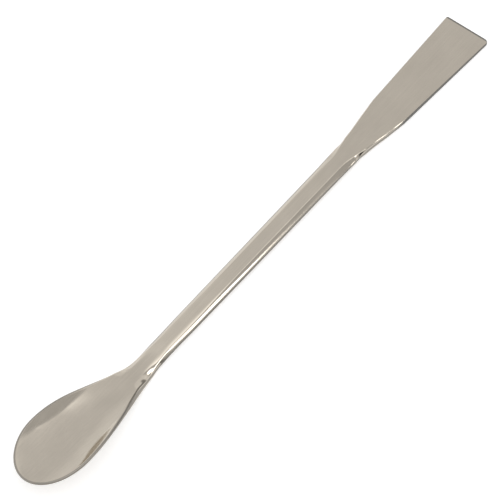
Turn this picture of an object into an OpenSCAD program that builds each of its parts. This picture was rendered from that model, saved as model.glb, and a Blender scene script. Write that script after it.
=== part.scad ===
// Laboratory spoon-spatula, forged from one stainless bar: a trapezoidal flat blade at one end,
// an egg-shaped spoon bowl at the other, and a slim flat-topped handle with sloped sides between.
// Lengths along the tool are measured from the blade's working end, as the distance d.
// It lies on its flat underside. +X points to the blade, +Z up, the origin is on the table
// under the middle of the tool.

/* [Whole tool] */
// Overall length, from the blade's end to the spoon's tip
overall_length = 180; // [165:1:210]

/* [Blade] */
// Half-width of the flat face at the working end
blade_end_half_width = 6.6; // [5:0.1:8]
// Half-width of the flat face where the blade meets its shoulders
blade_root_half_width = 5.1; // [3.6:0.1:6]
// Length of the straight-sided part
blade_length = 33.5; // [20:0.5:36]
// Length of the shoulders, where the blade narrows into the handle
shoulder_length = 23.5; // [15:0.5:28]
// How soon the shoulders pull in: under 1 is early
shoulder_haste = 0.84; // [0.6:0.02:1.2]
// Thickness at the working end
blade_end_thickness = 1.0; // [0.7:0.1:1.4]
// Thickness where the blade meets its shoulders
blade_root_thickness = 1.6; // [1.4:0.1:2.2]
// Radius of the blade's blunted corner, on the -Y side
blunt_corner_radius = 1.3; // [0.6:0.1:2.5]
// Radius of the blade's crisp corner, on the +Y side
crisp_corner_radius = 0.35; // [0.2:0.05:0.6]
// Width of the eased edge along the blade's sides
eased_edge = 0.15; // [0.1:0.01:0.2]
// Length of the bevel on both faces at the working end
end_bevel_length = 0.6; // [0.3:0.1:1]
// Depth of that bevel on each face
end_bevel_depth = 0.3; // [0.1:0.05:0.3]

/* [Handle] */
// Half-width of the flat top and of the flat underside
handle_flat_half_width = 1.7; // [1.4:0.05:2.4]
// Thickness
handle_thickness = 2.6; // [2.2:0.1:3.2]
// How far the sloped sides stand out past the flats at the shoulders
shoulder_side_bulge = 1.55; // [0.8:0.05:1.8]
// How far the sloped sides stand out past the flats at the neck
neck_side_bulge = 1.15; // [0.7:0.05:1.6]

/* [Bowl] */
// Half-width of the bowl at its widest, to the middle of the rim
bowl_half_width = 8.95; // [7:0.05:10]
// Length from the widest place to the tip
bowl_tip_length = 13.1; // [11:0.1:15]
// Length over which the handle flares out into the bowl, up to the widest place
flare_length = 47.5; // [36:0.5:60]
// Length over which the rim climbs to its full height, up to the widest place
rim_climb_length = 36; // [30:1:42]
// Height that the rim climbs above the middle of the floor at the widest place
rim_rise = 6.6; // [4:0.1:7.5]
// Height that the floor climbs from its lowest place to the tip
tip_rise = 5.55; // [3:0.05:6]
// Length of the floor's climb to the tip
tip_climb_length = 50; // [34:1:56]
// How square the bowl's section is at its widest: 2 is a plain dish, 4 has a flat floor and steep walls
section_power = 2.4; // [2:0.1:4]
// Wall thickness
wall_thickness = 0.8; // [0.6:0.05:1.2]
// Gap between the bowl's underside and the table
floor_clearance = 0.5; // [0.1:0.1:1]

/* [Smoothness] */
// Points across each face of the section, an odd number
points_across = 17; // [9:2:21]
// Points round each edge of the section
points_round_edge = 5; // [3:2:7]
// Sections along the flare and bowl
bowl_sections = 26; // [16:2:30]

/* [Hidden] */
STEEL = [0.72, 0.69, 0.64];
EPS = 0.01;
SPREAD_ANGLE = 75;                // crowds the points across a section towards its edges
EDGE_SQUARE = 0.5;                // edge shapes: nearly square, on the blade,
EDGE_ROUND = 1;                   // elliptical, on the neck and the bowl's rim,
EDGE_RIDGED = 2;                  // and a bulge that meets the flats at crisp ridges, on the handle
SIDE_ARC = 2;                     // the bulge's profile: a plain arc,
SIDE_SLOPED = 1.25;               // or the straighter slope that forging dies leave, on the handle
RIM_BULGE = 0.9;                  // bulge of the bowl's rim, in half thicknesses
SHOULDER_SECTIONS = 14;
CORNER_SECTIONS = 6;
BLADE_SECTIONS = 5;
HANDLE_SECTIONS = 8;
SOFTENING_SECTIONS = 4;
TIP_SECTIONS = 12;
NECK_TO_WIDEST = 49;              // the bar starts to thin this far before the bowl's widest place,
NECK_LENGTH = 26;                 // and has the wall's thickness after this length
SOFTENING_LENGTH = 20;            // over which the handle's ridges soften before the neck
FLARE_HASTE = 1.25;
NECK_SECTION_POWER = 1.7;         // the section power at the neck, which eases to section_power
CLIMB_POWER = 1.3;                // how late the floor climbs to the tip
BEVEL_POWER = 1.5;                // makes the end's bevel run out smoothly into the faces

tip_slope = CLIMB_POWER * tip_rise / tip_climb_length;
tip_tilt = atan(tip_slope);
tip_reach = wall_thickness / 2 * norm([RIM_BULGE * cos(tip_tilt), sin(tip_tilt)]);
rim_end = overall_length - tip_reach;
widest = rim_end - bowl_tip_length;
flare_start = widest - flare_length;
neck_start = widest - NECK_TO_WIDEST;
neck_end = neck_start + NECK_LENGTH;
climb_start = rim_end - tip_climb_length;
shoulder_end = blade_length + shoulder_length;

function mix(a, b, t) = a + (b - a) * t;
function clamp01(t) = min(max(t, 0), 1);
function share(d, from, to) = clamp01((d - from) / (to - from));
// A smooth step from 0 at one place to 1 at another, quicker at first with haste under 1
function ease(d, from, to, haste = 1) = (1 - cos(180 * pow(share(d, from, to), haste))) / 2;
function unit(v) = v / norm(v);

// How far the bar has taken each form at d: the handle's sides, softer ridges, and the bowl's wall
function shaped(d) = ease(d, blade_length, shoulder_end);
function softened(d) = ease(d, neck_start - SOFTENING_LENGTH, neck_start);
function dished(d) = ease(d, neck_start, neck_end);

// Outline: half-width of the flat or dished face at d
function bar_half_width(d) =
    let (blade = mix(blade_end_half_width, blade_root_half_width, share(d, 0, blade_length)))
    mix(blade, handle_flat_half_width, ease(d, blade_length, shoulder_end, shoulder_haste));
function half_width(d) =
    let (q = share(d, widest, rim_end))
    mix(bar_half_width(d), bowl_half_width, ease(d, flare_start, widest, FLARE_HASTE))
        * sqrt(max(0, 1 - q * q));

// Thickness of the bar or wall at d, and what the working end's bevel leaves of it
function bar_thickness(d) =
    let (blade = mix(blade_end_thickness, blade_root_thickness, share(d, 0, blade_length)))
    mix(mix(blade, handle_thickness, shaped(d)), wall_thickness, dished(d));
function bevelled_thickness(d) =
    bar_thickness(d) - 2 * end_bevel_depth * pow(1 - share(d, 0, end_bevel_length), BEVEL_POWER);

// Heights of the mid-surface: along the middle of the tool, and how much more at the rim
function floor_height(d) =
    bar_thickness(d) / 2 + floor_clearance * dished(d)
        + tip_rise * pow(share(d, climb_start, rim_end), CLIMB_POWER);
function rim_height(d) =
    let (q = share(d, widest, rim_end))
    bar_thickness(d) / 2 + floor_clearance * dished(d)
        + mix(rim_rise, tip_rise, q * q) * ease(d, widest - rim_climb_length, widest);
function dish_power(d) = mix(NECK_SECTION_POWER, section_power, ease(d, neck_end, widest));
function height(d, y) =
    let (w = half_width(d))
    floor_height(d) + (rim_height(d) - floor_height(d)) * (w < EPS ? 0 : pow(abs(y) / w, dish_power(d)));

// The mid-surface's normal. On the bar it is plain vertical, so that the underside stays flat.
function slope_along(d, y) = (height(d, y) - height(d - EPS, y)) / EPS;
function slope_across(d, y) =
    let (w = half_width(d))
    w < EPS ? 0 : sign(y) * dish_power(d) * (rim_height(d) - floor_height(d)) / w
        * pow(abs(y) / w, dish_power(d) - 1);
function normal(d, y) = unit([slope_along(d, y) * dished(d), -slope_across(d, y) * dished(d), 1]);

// Outward direction at the edge on one side (-1 or 1), along the mid-surface
function outward(d, side) =
    let (w = half_width(d))
    let (taper = (half_width(d) - half_width(d - EPS)) / EPS)
    let (plan = w < EPS ? [-1, 0] : unit([taper * dished(d), side]))
    let (climb = dished(d) * (-plan[0] * slope_along(d, side * w) + plan[1] * slope_across(d, side * w)))
    unit([plan[0], plan[1], climb]);

// Edge shape: how far it bulges, the power that makes it square, round or ridged, and its profile
function edge_bulge(d) =
    let (side = mix(shoulder_side_bulge, neck_side_bulge, share(d, shoulder_end, flare_start)))
    mix(mix(eased_edge, side, shaped(d)), RIM_BULGE * wall_thickness / 2, dished(d));
function edge_power(d) = mix(mix(EDGE_SQUARE, EDGE_RIDGED, shaped(d)), EDGE_ROUND, softened(d));
function edge_profile(d) = mix(mix(SIDE_ARC, SIDE_SLOPED, shaped(d)), SIDE_ARC, softened(d));
function edge_reach(d, turn) =
    edge_bulge(d) * pow(1 - pow(abs(sin(turn)), edge_profile(d)), edge_power(d) / 2);

// Rounding of the blade's two corners, as what they take off the half-width
function corner_inset(d, radius) =
    d < radius ? radius - sqrt(radius * radius - (radius - d) * (radius - d)) : 0;
function spread(u) = sin(SPREAD_ANGLE * u) / sin(SPREAD_ANGLE);
function across(d, u) =
    spread(u) * (half_width(d) - corner_inset(d, u < 0 ? blunt_corner_radius : crisp_corner_radius));

// Points of one section at d, all round it
function face_point(d, u, side) =
    let (y = across(d, u))
    [overall_length / 2 - d, y, height(d, y)] + side * bevelled_thickness(d) / 2 * normal(d, y);
function edge_point(d, side, turn) =
    let (y = across(d, side))
    [overall_length / 2 - d, y, height(d, y)]
        + edge_reach(d, turn) * outward(d, side)
        + bevelled_thickness(d) / 2 * sin(turn) * normal(d, y);
function face_steps() = [for (i = [0:points_across - 1]) -1 + 2 * i / (points_across - 1)];
function edge_turns() = [for (i = [1:points_round_edge]) -90 + 180 * i / (points_round_edge + 1)];
function section(d) = concat(
    [for (turn = edge_turns()) edge_point(d, -1, turn)],
    [for (u = face_steps()) face_point(d, u, 1)],
    [for (turn = edge_turns()) edge_point(d, 1, -turn)],
    [for (u = face_steps()) face_point(d, -u, -1)]
);
// At the tip each face closes to one point, and both edges are the same arc
function tip_arc() = concat(
    [face_point(rim_end, 0, -1)],
    [for (turn = edge_turns()) edge_point(rim_end, 0, turn)],
    [face_point(rim_end, 0, 1)]
);

// Places of the sections
function corner_place(i) = blunt_corner_radius * (1 - cos(90 * i / CORNER_SECTIONS));
function places(from, to, count) = [for (i = [1:count]) mix(from, to, i / count)];
station_places = concat(
    [for (i = [0:CORNER_SECTIONS]) corner_place(i)],
    places(blunt_corner_radius, blade_length, BLADE_SECTIONS),
    places(blade_length, shoulder_end, SHOULDER_SECTIONS),
    places(shoulder_end, neck_start - SOFTENING_LENGTH, HANDLE_SECTIONS),
    places(neck_start - SOFTENING_LENGTH, neck_start, SOFTENING_SECTIONS),
    places(neck_start, widest, bowl_sections),
    [for (i = [1:TIP_SECTIONS - 1]) mix(widest, rim_end, sin(90 * i / TIP_SECTIONS))]
);

// A skin over the sections, closed flat at the blade's end and to an arc at the tip
module spatula() {
    per_section = 2 * (points_across + points_round_edge);
    last = len(station_places) - 1;
    near_edge = points_round_edge;
    top = near_edge + points_across;
    far_edge = top + points_round_edge;
    function tip_step(j) =
        j < near_edge ? j + 1
        : j < top ? points_round_edge + 1
        : j < far_edge ? points_round_edge - (j - top)
        : 0;
    function vertex(i, j) = i <= last ? i * per_section + j : i * per_section + tip_step(j);
    quads = [
        for (i = [0:last])
            for (j = [0:per_section - 1])
                let (k = (j + 1) % per_section)
                [vertex(i, j), vertex(i, k), vertex(i + 1, k), vertex(i + 1, j)]
    ];
    triangles = [
        for (q = quads)
            for (t = [[q[0], q[2], q[1]], [q[0], q[3], q[2]]])
                if (t[0] != t[1] && t[1] != t[2] && t[2] != t[0]) t
    ];
    blade_end = [for (j = [0:per_section - 1]) j];
    color(STEEL)
        polyhedron(
            points = concat([for (d = station_places) each section(d)], tip_arc()),
            faces = concat([blade_end], triangles),
            convexity = 6
        );
}

spatula();
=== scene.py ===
import functools
import math

import bmesh
import bpy
import numpy as np
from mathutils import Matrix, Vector


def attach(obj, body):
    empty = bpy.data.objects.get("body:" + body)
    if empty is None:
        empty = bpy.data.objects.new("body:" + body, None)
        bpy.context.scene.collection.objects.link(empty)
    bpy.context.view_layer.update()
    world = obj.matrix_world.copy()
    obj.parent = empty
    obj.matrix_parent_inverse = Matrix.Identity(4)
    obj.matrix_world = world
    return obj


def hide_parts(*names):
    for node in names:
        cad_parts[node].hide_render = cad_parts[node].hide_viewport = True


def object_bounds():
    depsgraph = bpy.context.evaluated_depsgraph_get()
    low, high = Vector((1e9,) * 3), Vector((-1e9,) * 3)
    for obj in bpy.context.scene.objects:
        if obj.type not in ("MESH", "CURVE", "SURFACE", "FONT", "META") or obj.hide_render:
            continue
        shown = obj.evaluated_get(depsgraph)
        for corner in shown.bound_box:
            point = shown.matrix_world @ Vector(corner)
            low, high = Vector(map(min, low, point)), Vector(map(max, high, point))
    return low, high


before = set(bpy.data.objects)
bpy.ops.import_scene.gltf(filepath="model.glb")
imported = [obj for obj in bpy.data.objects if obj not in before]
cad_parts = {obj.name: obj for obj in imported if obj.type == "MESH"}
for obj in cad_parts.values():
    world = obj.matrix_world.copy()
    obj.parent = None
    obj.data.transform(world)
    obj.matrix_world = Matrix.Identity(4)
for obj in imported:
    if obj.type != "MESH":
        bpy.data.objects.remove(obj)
CAD_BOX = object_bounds()

# A stainless laboratory spoon-spatula, lying on a pale studio floor. The tool is one forged
# piece. Its skin is lofted from sections along its length, as its construction is, but finer
# and with softly rounded edges, and the bar keeps its thickness further into the neck. The shape
# functions work in millimetres, and d is the distance from the blade's working end. Everything
# else is in metres.

MM = 0.001

# Blade
BLADE_END_HALF_WIDTH = 6.6
BLADE_ROOT_HALF_WIDTH = 5.1
BLADE_LENGTH = 33.5
BLADE_END_THICKNESS = 1.0
BLADE_ROOT_THICKNESS = 1.6
BLUNT_CORNER = 1.3
CRISP_CORNER = 0.35
BEVEL_LENGTH = 0.6
BEVEL_DEPTH = 0.3
BEVEL_POWER = 1.5
EASED_SIDE = 0.15
# Shoulder
SHOULDER_LENGTH = 23.5
SHOULDER_HASTE = 0.84
# Handle, with a flat on top between its facets
HANDLE_TOP_HALF_WIDTH = 1.5
HANDLE_FLAT_HALF_WIDTH = 1.62
NECK_FLAT_HALF_WIDTH = 1.55
HANDLE_THICKNESS = 2.6
SHOULDER_SIDE_BULGE = 1.78
NECK_SIDE_BULGE = 1.51
# Neck and bowl
BOWL_HALF_WIDTH = 8.95
BOWL_TIP_LENGTH = 13.1
FLARE_LENGTH = 47.5
FLARE_HASTE = 1.21
RIM_CLIMB_LENGTH = 36.0
RIM_RISE = 6.6
TIP_RISE = 5.55
TIP_CLIMB_LENGTH = 50.0
CLIMB_POWER = 1.3
NECK_SECTION_POWER = 1.7
SECTION_POWER = 2.4
WALL_THICKNESS = 0.8
RIM_BULGE = 0.9
WALL_SLOPE = 0.70
FLOOR_CLEARANCE = 0.5
NECK_TO_WIDEST = 49.0
NECK_LENGTH = 26.0
THINNING_START = 126.0
THINNING_END = 160.0
LIFT_START = 130.0
LIFT_END = 160.0
# The sides where no facet is pressed, with a broken edge: its width, slope and crispness
EASED_BREAK = 0.15
PLAIN_BREAK = 0.36
NECK_BREAK = 0.24
EASING_LENGTH = 5.0
BREAK_SLOPE = 0.87
BREAK_CRISPNESS = 8
# The facets where they start past the shoulder, and the short steep step that they start in
FACET_START = 48.0
FACET_RUNOUT = 9.0
FACET_WIDTH = 1.6
FACET_SLOPE = 0.66
FACET_CRISPNESS = 24
STEP_SLOPE = 1.43
STEP_START = 48.4
STEP_LENGTH = 1.4
STEP_END = 50.4
STEP_GONE = 53.0
# How far the shoulder's upright sides stand in from the construction's widest line
UPRIGHT_INSET = 0.22
INSET_START = 40.0
INSET_FULL = 48.0
INSET_END = 57.0
# The handle's full section, with two facets on each side, and where their crown fades
PRESSED_START = 56.0
PRESSED_RUNOUT = 8.0
PRESSED_END = 136.0
SIDE_CROWN = 0.40
STRAIGHTENING_START = 113.0
STRAIGHTENING_END = 136.0
# Where the upper facets merge into the top of the neck, and the sides under its edge lean
MERGING_LENGTH = 10.0
MERGED = 142.0
MERGING_SOFTNESS = 0.4
MERGING_SLOPE = 0.86
NECK_LEAN = 0.34
LEAN_START = 127.0
LEAN_END = 138.0
# Where the edge becomes the bowl's rim
RIM_START = 146.0
RIM_FULL = 162.0
# Rounding of the flat's edges along the handle and at the neck, and of all other edges
FLAT_EDGE_ROUNDING = 0.05
NECK_ROUNDING = 0.55
EDGE_ROUNDING = 0.06
SOFTENING_LENGTH = 20.0

LENGTH = (CAD_BOX[1].x - CAD_BOX[0].x) / MM
TIP_TILT = math.atan(CLIMB_POWER * TIP_RISE / TIP_CLIMB_LENGTH)
TIP_REACH = WALL_THICKNESS / 2 * math.hypot(RIM_BULGE * math.cos(TIP_TILT), math.sin(TIP_TILT))
RIM_END = LENGTH - TIP_REACH
RIM_REACH = RIM_BULGE * WALL_THICKNESS / 2
WIDEST = RIM_END - BOWL_TIP_LENGTH
FLARE_START = WIDEST - FLARE_LENGTH
NECK_START = WIDEST - NECK_TO_WIDEST
NECK_END = NECK_START + NECK_LENGTH
NECK_SOFT_START = NECK_START - SOFTENING_LENGTH
SHOULDER_END = BLADE_LENGTH + SHOULDER_LENGTH

# Painted shade along the outline: a dark colour standing in for the dark floor and shadow that the
# edges mirror, with a rougher, duller finish. It covers nearly the whole height of the blade's
# sides, and a narrower and less darkened band from the shoulder on
EDGE_SHADE_HALF_HEIGHT = 0.38
BLADE_EDGE_SHADE_MARGIN = 0.12
EDGE_SHADE_FADE = 0.12
EDGE_SHADE_BEYOND_BLADE = 0.67

# Fineness of the skin: points across the top and round each edge, and sections of each stretch
ACROSS = 61
ROUND_EDGE = 31
SPREAD_ANGLE = math.radians(75)
CORNER_SECTIONS = 22
BLADE_SECTIONS = 24
SHOULDER_SECTIONS = 48
HANDLE_SECTIONS = 24
BOWL_SECTIONS = 120
TIP_SECTIONS = 48
SOFTENING_NEIGHBOURS = 60
LEAST_WEIGHT = 1e-12
# The step that slopes are taken over, and the least half width or depth, both in millimetres
SLOPE_STEP = 0.01
LEAST_SIZE = 0.01
# In metres: points this close become one, and edges this short go
MERGE_DISTANCE = 1e-8
DEGENERATE_LENGTH = 1e-9
# Heights round an edge, from -1 at the underside to 1 at the top
SIDE_STEPS = np.sin(np.linspace(-np.pi / 2, np.pi / 2, ROUND_EDGE + 2)[1:-1])


def mix(a, b, t):
    return a + (b - a) * t


def share(d, start, end):
    """How far d is from start to end, from 0 to 1."""
    return np.clip((d - start) / (end - start), 0, 1)


def ease(d, start, end, haste=1.0):
    """The same with a soft start and stop. A haste below 1 brings the change forward."""
    return (1 - np.cos(np.pi * share(d, start, end) ** haste)) / 2


def dished(d):
    """How far the section has turned from a flat bar's into a dish's at d."""
    return ease(d, NECK_START, NECK_END)


def half_width(d):
    """Half the width of the construction's flat top, and of the dish, at d."""
    blade = mix(BLADE_END_HALF_WIDTH, BLADE_ROOT_HALF_WIDTH, share(d, 0, BLADE_LENGTH))
    bar = mix(blade, HANDLE_TOP_HALF_WIDTH, ease(d, BLADE_LENGTH, SHOULDER_END, SHOULDER_HASTE))
    w = mix(bar, BOWL_HALF_WIDTH, ease(d, FLARE_START, WIDEST, FLARE_HASTE))
    return w * np.sqrt(1 - share(d, WIDEST, RIM_END) ** 2)


def thickness(d):
    """Thickness of the bar or the bowl's wall at d."""
    blade = mix(BLADE_END_THICKNESS, BLADE_ROOT_THICKNESS, share(d, 0, BLADE_LENGTH))
    bar = mix(blade, HANDLE_THICKNESS, ease(d, BLADE_LENGTH, SHOULDER_END))
    return mix(bar, WALL_THICKNESS, ease(d, THINNING_START, THINNING_END))


def rounding(d, radius):
    """What a quarter round of that radius takes off at d."""
    left = np.clip(radius - d, 0, radius)
    return radius - np.sqrt(radius**2 - left**2)


def floor_height(d):
    """Height of the mid-surface on the middle line at d."""
    climb = TIP_RISE * share(d, RIM_END - TIP_CLIMB_LENGTH, RIM_END) ** CLIMB_POWER
    return thickness(d) / 2 + FLOOR_CLEARANCE * ease(d, LIFT_START, LIFT_END) + climb


def rim_height(d):
    """Height of the mid-surface at the edge at d, for a dish without the steady slope."""
    rise = mix(RIM_RISE, TIP_RISE, share(d, WIDEST, RIM_END) ** 2)
    climb = rise * ease(d, WIDEST - RIM_CLIMB_LENGTH, WIDEST)
    return thickness(d) / 2 + FLOOR_CLEARANCE * ease(d, LIFT_START, LIFT_END) + climb


def dish(d, y):
    """Height of the mid-surface at d and y, and its slope across."""
    w = np.maximum(half_width(d), LEAST_SIZE)
    power = mix(NECK_SECTION_POWER, SECTION_POWER, ease(d, NECK_END, WIDEST))
    depth = rim_height(d) - floor_height(d)
    u = np.minimum(np.abs(y) / w, 1)
    slope = power * depth / w * u ** (power - 1)
    height = floor_height(d) + depth * u**power
    # Towards the rim the wall keeps a steady slope
    gentleness = WALL_SLOPE * w / (power * np.maximum(depth, LEAST_SIZE))
    steady = np.minimum(gentleness ** (1 / (power - 1)), 1)
    straight = floor_height(d) + depth * steady**power + WALL_SLOPE * (u - steady) * w
    return np.where(u > steady, straight, height), np.sign(y) * np.minimum(slope, WALL_SLOPE)


def facet(d):
    """How far the facets along the handle's sides have opened at d, past the shoulder."""
    return ease(d, FACET_START, FACET_START + FACET_RUNOUT) * (d < LENGTH / 2)


def pressed(d):
    """How far the sides have the full section of the handle at d."""
    start = ease(d, PRESSED_START, PRESSED_START + PRESSED_RUNOUT)
    return start * (1 - ease(d, PRESSED_END - MERGING_LENGTH, PRESSED_END))


def merging_slope(d):
    """Slope of the facets where they widen and merge into the top of the neck."""
    return MERGING_SLOPE * (1 - ease(d, PRESSED_END, MERGED)) * (d > LENGTH / 2)


def rim(d):
    """How far the edge has become the bowl's rim at d."""
    return ease(d, RIM_START, RIM_FULL)


def side_bulge(d):
    """How far the sides stand out beyond the flat top in the construction."""
    shaping = ease(d, BLADE_LENGTH, SHOULDER_END)
    bulge = mix(SHOULDER_SIDE_BULGE, NECK_SIDE_BULGE, share(d, SHOULDER_END, FLARE_START))
    return mix(mix(EASED_SIDE, bulge, shaping), RIM_REACH, dished(d))


def edge_break(d):
    """Width of the broken edge or the facet at d."""
    plain = mix(EASED_BREAK, PLAIN_BREAK, ease(d, BLADE_LENGTH, BLADE_LENGTH + EASING_LENGTH))
    plain = np.where(d < LENGTH / 2, plain, NECK_BREAK)
    return mix(plain, FACET_WIDTH, facet(d))


def edge_slope(d):
    """How steeply the broken edge or the facet falls at d."""
    shoulder = mix(BREAK_SLOPE, STEP_SLOPE, ease(d, STEP_START, STEP_START + STEP_LENGTH))
    shoulder = mix(shoulder, FACET_SLOPE, ease(d, STEP_END, STEP_GONE))
    return np.where(d < LENGTH / 2, shoulder, STEP_SLOPE)


def side_lean(d):
    """How much the side under the broken edge leans outwards for each step down."""
    return NECK_LEAN * ease(d, LEAN_START, LEAN_END)


def inner_half_width(d):
    """Half width of the flat between the handle's facets."""
    return mix(HANDLE_FLAT_HALF_WIDTH, NECK_FLAT_HALF_WIDTH, ease(d, NECK_START, PRESSED_END))


def merging_drop(d, y):
    """How far the merging facets lie below the plain top at d and y."""
    beyond = np.abs(y) - inner_half_width(d)
    beyond = (beyond + np.sqrt(beyond**2 + MERGING_SOFTNESS**2)) / 2
    return merging_slope(d) * (1 - pressed(d)) * beyond


def flat_half_width(d):
    """Half width of the top, inside the facets or the broken edges."""
    outline = half_width(d) + side_bulge(d)
    inset = UPRIGHT_INSET * ease(d, INSET_START, INSET_FULL) * (1 - ease(d, FACET_START, INSET_END))
    plain = outline - inset - edge_break(d) - side_lean(d) * thickness(d)
    bar = mix(plain, inner_half_width(d), pressed(d))
    return mix(bar, outline - RIM_REACH, rim(d))


def broken_reach(d, thick):
    """How far each level of a side with a broken edge stands out from the edge of the top."""
    width, slope, lean = (v[:, None] for v in (edge_break(d), edge_slope(d), side_lean(d)))
    fall = (1 - np.abs(SIDE_STEPS)) * thick[:, None] / 2 / (width * slope)
    crispness = mix(BREAK_CRISPNESS, FACET_CRISPNESS, facet(d))[:, None]
    reach = width * fall / (1 + fall**crispness) ** (1 / crispness)
    return reach + lean * (1 - SIDE_STEPS) * thick[:, None] / 2


def pressed_reach(d):
    """The same for a side of two facets, which meet in a ridge at mid-height."""
    level = np.abs(SIDE_STEPS)
    bulge = (half_width(d) + side_bulge(d) - inner_half_width(d))[:, None]
    crown = SIDE_CROWN * (1 - ease(d, STRAIGHTENING_START, STRAIGHTENING_END))[:, None]
    return bulge * (1 - level) * (1 + crown * level)


def side_reach(d, thick):
    """How far each level of the side stands out from the edge of the top, in every section."""
    side = mix(broken_reach(d, thick), pressed_reach(d), pressed(d)[:, None])
    rounded = RIM_REACH * np.sqrt(1 - SIDE_STEPS**2)
    return mix(side, rounded, rim(d)[:, None])


def unit(v):
    """Vectors of that direction and length 1."""
    return v / np.linalg.norm(v, axis=-1, keepdims=True)


def skin_frame(d, y):
    """Points of the mid-surface, its normals and its slope along the tool."""
    z, across = dish(d, y)
    along = (z - dish(d - SLOPE_STEP, y)[0]) / SLOPE_STEP
    tilt = dished(d)
    normal = unit(np.stack([along * tilt, -across * tilt, np.ones_like(z)], -1))
    return np.stack([LENGTH / 2 - d, y, z], -1), normal, along, across


def edge_shade_amount(d, level, thick):
    """How much painted edge shade, with its duller finish, there is at a level between underside
    and top.
    """
    beyond = ease(d, BLADE_LENGTH, BLADE_LENGTH + EASING_LENGTH)
    height = mix(thick / 2 - BLADE_EDGE_SHADE_MARGIN, EDGE_SHADE_HALF_HEIGHT, beyond)
    side = 1 - share(np.abs(level) * thick / 2, height, height + EDGE_SHADE_FADE)
    side = side * mix(1, EDGE_SHADE_BEYOND_BLADE, beyond)
    side[:, np.abs(level) == 1] = 0
    return np.maximum(side, 1 - share(d, BEVEL_LENGTH, BEVEL_LENGTH + EDGE_SHADE_FADE))


def edge_points(d, side, thick, edge_y):
    """Points round one edge of every section, from the underside to the top."""
    taper = (half_width(d) - half_width(d - SLOPE_STEP)) / SLOPE_STEP
    mid, normal, along, across = skin_frame(d, edge_y)
    plan = unit(np.stack([taper * dished(d), np.full_like(d, side)], -1))
    closed = half_width(d) < LEAST_SIZE
    plan[closed] = [-1, 0]
    climb = dished(d) * (-plan[:, 0] * along + plan[:, 1] * across)
    outward = unit(np.stack([plan[:, 0], plan[:, 1], climb], -1))
    reach = side_reach(d, thick)
    drop = merging_drop(d, edge_y)[:, None]
    rise = thick[:, None] / 2 * SIDE_STEPS - drop * (1 + SIDE_STEPS) / 2
    return mid[:, None] + reach[..., None] * outward[:, None] + rise[..., None] * normal[:, None]


def places():
    """Where the sections lie, closer together at the corners, the shoulders and the tip."""
    corner = BLUNT_CORNER * (1 - np.cos(np.linspace(0, np.pi / 2, CORNER_SECTIONS)))
    stretches = (
        (BLUNT_CORNER, BLADE_LENGTH, BLADE_SECTIONS),
        (BLADE_LENGTH, SHOULDER_END, SHOULDER_SECTIONS),
        (SHOULDER_END, NECK_SOFT_START, HANDLE_SECTIONS),
        (NECK_SOFT_START, WIDEST, BOWL_SECTIONS),
    )
    middle = [np.linspace(*stretch)[1:] for stretch in stretches]
    tip = mix(WIDEST, RIM_END, np.sin(np.linspace(0, np.pi / 2, TIP_SECTIONS)[1:]))
    return np.concatenate([corner, *middle, tip])


def soften(loops, radius):
    """Rounds the edges of closed section loops, by a weighted mean along each loop."""
    step = np.linalg.norm(np.roll(loops, -1, 1) - loops, axis=-1)
    weight = (step + np.roll(step, 1, 1)) / 2
    total = loops * weight[..., None]
    weights = weight.copy()
    for sign in (1, -1):
        gap = np.zeros_like(step)
        for k in range(1, SOFTENING_NEIGHBOURS + 1):
            gap = gap + np.roll(step, -(k - 1) if sign > 0 else k, 1)
            w = np.roll(weight, -sign * k, 1) * np.exp(-((gap / radius) ** 2) / 2)
            total = total + np.roll(loops, -sign * k, 1) * w[..., None]
            weights = weights + w
    return total / np.maximum(weights, LEAST_WEIGHT)[..., None]


def softness(d, level):
    """The rounding at each level of every section."""
    softened = ease(d, NECK_SOFT_START, PRESSED_END - MERGING_LENGTH)
    flat_edge = mix(FLAT_EDGE_ROUNDING, NECK_ROUNDING, softened)
    flat_edge = mix(EDGE_ROUNDING, flat_edge, pressed(d))
    return mix(EDGE_ROUNDING, flat_edge[:, None], np.abs(level))


def points_across(near, far):
    """Places across the top of every section, closer together at its edges."""
    u = np.linspace(-1, 1, ACROSS)
    u = np.sin(SPREAD_ANGLE * u) / math.sin(SPREAD_ANGLE)
    return np.where(u < 0, -u * near[:, None], u * far[:, None])


def section_loops():
    """Points of all sections, as sections by points by 3, each round from the near edge."""
    d = places()
    thick = thickness(d) - 2 * BEVEL_DEPTH * (1 - share(d, 0, BEVEL_LENGTH)) ** BEVEL_POWER
    flat = flat_half_width(d)
    near = -(flat - rounding(d, BLUNT_CORNER))
    far = flat - rounding(d, CRISP_CORNER)
    y = points_across(near, far)
    dd = np.repeat(d[:, None], ACROSS, 1)
    mid, normal, _, _ = skin_frame(dd, y)
    offset = normal * thick[:, None, None] / 2
    near_edge = edge_points(d, -1.0, thick, near)
    far_edge = edge_points(d, 1.0, thick, far)
    top = mid + offset - normal * merging_drop(dd, y)[..., None]
    loops = np.concatenate([near_edge, top, far_edge[:, ::-1], (mid - offset)[:, ::-1]], 1)
    level = np.concatenate([SIDE_STEPS, np.ones(ACROSS), SIDE_STEPS[::-1], -np.ones(ACROSS)])
    soft = soften(loops, softness(d, level))
    soft[-1] = loops[-1]
    # The second result is the painted edge shade mask
    return soft, edge_shade_amount(d[:, None], level, thick[:, None])


def inside_box(points, box):
    """Stands the points on the bottom of the box and keeps them inside it."""
    lo, hi = np.array(box[0]) / MM, np.array(box[1]) / MM
    points[..., 2] += lo[2] - points[..., 2].min()
    return np.clip(points, lo, hi)


def skin_faces(rows, cols):
    """Quads between neighbouring loops, and one face that closes the blade's end."""
    i, j = np.meshgrid(np.arange(rows - 1), np.arange(cols), indexing="ij")
    k = (j + 1) % cols
    corners = (i * cols + j, (i + 1) * cols + j, (i + 1) * cols + k, i * cols + k)
    return np.stack(corners, -1).reshape(-1, 4).tolist() + [list(range(cols))]


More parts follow.
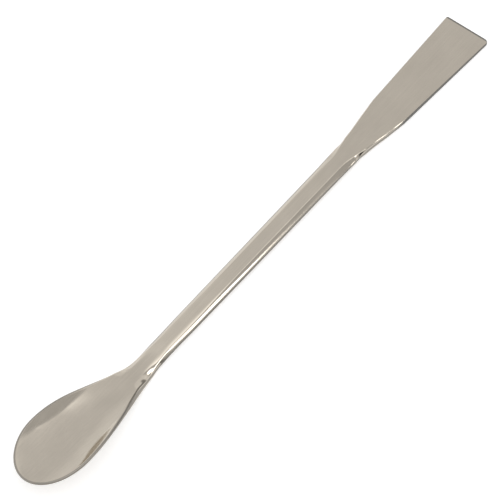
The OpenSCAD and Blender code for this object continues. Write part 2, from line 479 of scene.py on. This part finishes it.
def clean(mesh):
    """Merges the points that meet at the tip, and smooths all but the blade's end face."""
    bm = bmesh.new()
    bm.from_mesh(mesh)
    bmesh.ops.remove_doubles(bm, verts=bm.verts, dist=MERGE_DISTANCE)
    bmesh.ops.dissolve_degenerate(bm, dist=DEGENERATE_LENGTH, edges=bm.edges)
    bmesh.ops.recalc_face_normals(bm, faces=bm.faces)
    end = max(bm.faces, key=lambda f: len(f.verts))
    for face in bm.faces:
        face.smooth = face != end
    for edge in end.edges:
        edge.smooth = False
    bm.to_mesh(mesh)
    bm.free()


def make_spatula():
    """The whole tool as one closed skin, in place of its construction."""
    loops, edge_shade = section_loops()
    loops = inside_box(loops, CAD_BOX)
    mesh = bpy.data.meshes.new("spatula_skin")
    mesh.from_pydata((loops.reshape(-1, 3) * MM).tolist(), [], skin_faces(*loops.shape[:2]))
    # The painted edge shade mask, kept on the points for the material
    values = mesh.attributes.new("edge_shade", "FLOAT", "POINT").data
    values.foreach_set("value", edge_shade.ravel().astype(np.float32))
    clean(mesh)
    obj = bpy.data.objects.new("spatula_steel", mesh)
    bpy.context.scene.collection.objects.link(obj)
    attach(obj, "root")
    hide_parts("spatula")
    mesh.materials.append(make_steel())


# Where a Mix node has its two values and its result
MIX_SOCKETS = {"RGBA": (6, 7, 2), "FLOAT": (2, 3, 0)}
NOISE_DETAIL = 3.0


class Nodes:
    """A short way to write a node tree."""

    def __init__(self, tree):
        self.tree = tree
        tree.nodes.clear()

    def add(self, kind, **inputs):
        node = self.tree.nodes.new(kind)
        for key, value in inputs.items():
            if key in node.inputs:
                self.put(node.inputs[key], value)
            else:
                setattr(node, key, value)
        return node

    def put(self, socket, value):
        if isinstance(value, bpy.types.NodeSocket):
            self.tree.links.new(value, socket)
        else:
            socket.default_value = value

    def math(self, operation, *values):
        node = self.add("ShaderNodeMath", operation=operation)
        for socket, value in zip(node.inputs, values):
            self.put(socket, value)
        return node.outputs[0]

    def total(self, *values):
        return functools.reduce(lambda a, b: self.math("ADD", a, b), values)

    def product(self, *values):
        return functools.reduce(lambda a, b: self.math("MULTIPLY", a, b), values)

    def blend(self, kind, factor, a, b):
        """Goes from a to b, two colours or two numbers, as the factor goes from 0 to 1."""
        node = self.add("ShaderNodeMix", data_type=kind, Factor=factor)
        first, second, result = MIX_SOCKETS[kind]
        self.put(node.inputs[first], a)
        self.put(node.inputs[second], b)
        return node.outputs[result]

    def noise(self, place, scale):
        """Noise about zero, within half a unit of it."""
        node = self.add("ShaderNodeTexNoise", Vector=place, Scale=scale, Detail=NOISE_DETAIL)
        return self.math("SUBTRACT", node.outputs[0], 0.5)


STEEL_COLOR = (0.60, 0.545, 0.465, 1)
# Painted shade: the dark colour along the outline stands in for the dark floor and shadow that the
# edges mirror
EDGE_SHADE_COLOR = (0.185, 0.175, 0.16, 1)
STEEL_ROUGHNESS = 0.10
DULL_EDGE_ROUGHNESS = 0.45
# Fine polishing lines along the length and a soft unevenness, in waves per metre, with the share
# each adds to the tone, what it adds to the roughness and its height in metres
GRAIN_SCALE = (90.0, 2600.0, 2600.0)
GRAIN_TONE = 0.10
GRAIN_ROUGHNESS = 0.05
GRAIN_HEIGHT = 1.2e-6
MOTTLE_SCALE = 140.0
MOTTLE_TONE = 0.13
MOTTLE_ROUGHNESS = 0.04
MOTTLE_HEIGHT = 12e-6


def make_steel():
    """Buffed steel with fine lines and a slight unevenness, rougher along the outline, where
    painted shade darkens it.
    """
    mat = bpy.data.materials.new("buffed_steel")
    mat.use_nodes = True
    n = Nodes(mat.node_tree)
    place = n.add("ShaderNodeTexCoord").outputs["Object"]
    grain = n.noise(n.add("ShaderNodeMapping", Vector=place, Scale=GRAIN_SCALE).outputs[0], 1.0)
    mottle = n.noise(place, MOTTLE_SCALE)

    def vary(base, by_grain, by_mottle):
        uneven = n.math("MULTIPLY_ADD", mottle, by_mottle, base)
        return n.math("MULTIPLY_ADD", grain, by_grain, uneven)

    # Painted edge shade: darkens the colour along the outline, and raises the roughness there
    edge_shade = n.add("ShaderNodeAttribute", attribute_name="edge_shade").outputs["Fac"]
    color = n.blend("RGBA", edge_shade, STEEL_COLOR, EDGE_SHADE_COLOR)
    rough = n.blend("FLOAT", edge_shade, STEEL_ROUGHNESS, DULL_EDGE_ROUGHNESS)
    tinted = n.add("ShaderNodeVectorMath", operation="SCALE")
    n.put(tinted.inputs[0], color)
    n.put(tinted.inputs["Scale"], vary(1.0, GRAIN_TONE, MOTTLE_TONE))
    height = vary(0.0, GRAIN_HEIGHT, MOTTLE_HEIGHT)
    relief = n.add("ShaderNodeBump", Strength=1.0, Distance=1.0, Height=height)
    bsdf = n.add("ShaderNodeBsdfPrincipled", Metallic=1.0)
    n.put(bsdf.inputs["Base Color"], tinted.outputs[0])
    n.put(bsdf.inputs["Roughness"], vary(rough, GRAIN_ROUGHNESS, MOTTLE_ROUGHNESS))
    n.put(bsdf.inputs["Normal"], relief.outputs[0])
    n.add("ShaderNodeOutputMaterial", Surface=bsdf.outputs[0])
    return mat


# What the floor adds to its own light where the camera sees it, and where the steel mirrors it
FLOOR_GLOW = 0.45
FLOOR_MIRROR_GLOW = 0.28
FLOOR_COLOR = (0.8, 0.8, 0.8, 1)
FLOOR_HALF_SIDE = 1.5
WHITE = (1, 1, 1, 1)


def make_floor_material():
    """White where the camera sees it, apart from the tool's shadow, and dimmer in the steel."""
    mat = bpy.data.materials.new("floor_white")
    mat.use_nodes = True
    n = Nodes(mat.node_tree)
    path = n.add("ShaderNodeLightPath").outputs
    mirrored = n.math("MAXIMUM", path["Is Glossy Ray"], path["Is Transmission Ray"])
    strength = n.total(
        n.product(path["Is Camera Ray"], FLOOR_GLOW),
        n.product(mirrored, FLOOR_MIRROR_GLOW),
    )
    diffuse = n.add("ShaderNodeBsdfDiffuse", Color=FLOOR_COLOR)
    glow = n.add("ShaderNodeEmission", Color=WHITE, Strength=strength)
    both = n.add("ShaderNodeAddShader")
    n.put(both.inputs[0], diffuse.outputs[0])
    n.put(both.inputs[1], glow.outputs[0])
    n.add("ShaderNodeOutputMaterial", Surface=both.outputs[0])
    return mat


def make_floor():
    a = FLOOR_HALF_SIDE
    mesh = bpy.data.meshes.new("floor")
    mesh.from_pydata([(-a, -a, 0), (a, -a, 0), (a, a, 0), (-a, a, 0)], [], [(0, 1, 2, 3)])
    mesh.materials.append(make_floor_material())
    obj = bpy.data.objects.new("floor", mesh)
    bpy.context.scene.collection.objects.link(obj)


# The studio's brightness by direction, which the steel mirrors, as smooth ramps. Each names the
# direction's axis, where along it the ramp starts and ends, and what it gives at both. The pale
# surroundings are a ceiling with three brighter parts.
CEILING = ("x", 0.40, 0.47, 0.88, 0.73)
BRIGHT_END = ("x", 0.61, 0.68, 0.0, 0.13)
NEAR_GLOW = ("y", -0.60, 0.30, 0.75, 0.0)
NEAR_GLOW_REACH = ("x", 0.455, 0.50, 1.0, 0.1)
FAR_GLOW = ("z", 0.2, 0.6, 0.12, 0.0)
FAR_GLOW_REACH = ("y", 0.3, 0.7, 0.0, 1.0)
# The near side of the room is darker, up to a sharp upper edge
NEAR_SIDE = ("y", -0.20, 0.05, 1.0, 0.0)
UPPER_EDGE = ("z", 0.712, 0.732, 1.0, 0.0)
DUSK = ("z", 0.45, 0.60, 0.62, 0.55)
DUSK_BRIGHTENING = ("x", 0.50, 0.58, 1.0, 1.6)
# It darkens further towards the horizon, and in a dark gap at its outer end
HORIZON = ("z", 0.08, 0.24)
HORIZON_LEVEL = ("x", 0.34, 0.56, 0.0, 0.75)
OUTER_END = ("x", 0.74, 0.79)
GAP_TOP = ("z", 0.48, 0.62, 0.3, 1.0)
GAP_BOTTOM = ("z", 0.02, 0.14, 1.0, 0.3)


def make_world():
    """White where the camera sees it, and the studio's pattern of brightness for all else."""
    world = bpy.data.worlds.new("studio")
    bpy.context.scene.world = world
    world.use_nodes = True
    n = Nodes(world.node_tree)
    direction = n.add("ShaderNodeTexCoord").outputs["Generated"]
    axes = dict(zip("xyz", n.add("ShaderNodeSeparateXYZ", Vector=direction).outputs))

    def ramp(axis, start, end, low, high):
        node = n.add("ShaderNodeMapRange", interpolation_type="SMOOTHSTEP")
        names = ("Value", "From Min", "From Max", "To Min", "To Max")
        for name, value in zip(names, (axes[axis], start, end, low, high)):
            n.put(node.inputs[name], value)
        return node.outputs[0]

    pale = n.total(
        ramp(*CEILING),
        ramp(*BRIGHT_END),
        n.product(ramp(*NEAR_GLOW), ramp(*NEAR_GLOW_REACH)),
        n.product(ramp(*FAR_GLOW), ramp(*FAR_GLOW_REACH)),
    )
    horizon = ramp(*HORIZON, ramp(*HORIZON_LEVEL), 1.0)
    gap = n.math("MAXIMUM", ramp(*GAP_TOP), ramp(*GAP_BOTTOM))
    outer = ramp(*OUTER_END, 1.0, gap)
    dusk = n.product(ramp(*DUSK), ramp(*DUSK_BRIGHTENING), horizon, outer)
    near = n.product(ramp(*NEAR_SIDE), ramp(*UPPER_EDGE))
    level = n.total(n.product(pale, n.math("SUBTRACT", 1.0, near)), n.product(near, dusk))
    seen = n.add("ShaderNodeLightPath").outputs["Is Camera Ray"]
    strength = n.math("MAXIMUM", seen, level)
    sky = n.add("ShaderNodeBackground", Color=WHITE, Strength=strength)
    n.add("ShaderNodeOutputWorld", Surface=sky.outputs[0])


LAMP_PLACE = (0.231, -0.50, 0.312)
LAMP_SIZE = (0.122, 0.135)
LAMP_RADIANCE = 3.1


def make_lamp():
    """A soft elliptical lamp that faces the middle of the tool."""
    light = bpy.data.lights.new("right_softbox", "AREA")
    light.shape = "ELLIPSE"
    light.size, light.size_y = LAMP_SIZE
    area = math.pi / 4 * light.size * light.size_y
    light.energy = LAMP_RADIANCE * math.pi * area
    obj = bpy.data.objects.new("right_softbox", light)
    obj.location = LAMP_PLACE
    obj.rotation_mode = "QUATERNION"
    obj.rotation_quaternion = (-Vector(LAMP_PLACE)).to_track_quat("-Z", "Y")
    bpy.context.scene.collection.objects.link(obj)


# The camera, fitted to the photo's outline. The offset moves the object right and up in the frame
CAMERA_ELEVATION = math.radians(55.0)
CAMERA_TURN = math.radians(51.93)
CAMERA_DISTANCE = 1.0
CAMERA_CLIP = (0.05, 10)
AIM_HEIGHT = 0.002
SCALE_PX_PER_M = 3993.3
OFFSET_PX = (5.71, 1.59)
FRAME_PX = 500
SENSOR_MM = 36.0


def make_camera():
    """Looks down at the tool from the photo's side."""
    away = Vector((math.sin(CAMERA_TURN), math.cos(CAMERA_TURN), 0))
    right = Vector((math.cos(CAMERA_TURN), -math.sin(CAMERA_TURN), 0))
    ahead = away * math.cos(CAMERA_ELEVATION) - Vector((0, 0, math.sin(CAMERA_ELEVATION)))
    up = right.cross(ahead)
    cam = bpy.data.cameras.new("camera")
    cam.sensor_width = SENSOR_MM
    cam.lens = SENSOR_MM * SCALE_PX_PER_M * CAMERA_DISTANCE / FRAME_PX
    cam.clip_start, cam.clip_end = CAMERA_CLIP
    obj = bpy.data.objects.new("camera", cam)
    offset = (right * OFFSET_PX[0] + up * OFFSET_PX[1]) / SCALE_PX_PER_M
    obj.location = Vector((0, 0, AIM_HEIGHT)) - offset - ahead * CAMERA_DISTANCE
    obj.rotation_mode = "QUATERNION"
    obj.rotation_quaternion = ahead.to_track_quat("-Z", "Y")
    bpy.context.scene.collection.objects.link(obj)
    bpy.context.scene.camera = obj


bpy.context.scene.view_settings.view_transform = "Standard"
make_camera()
make_world()
make_floor()
make_lamp()
make_spatula()
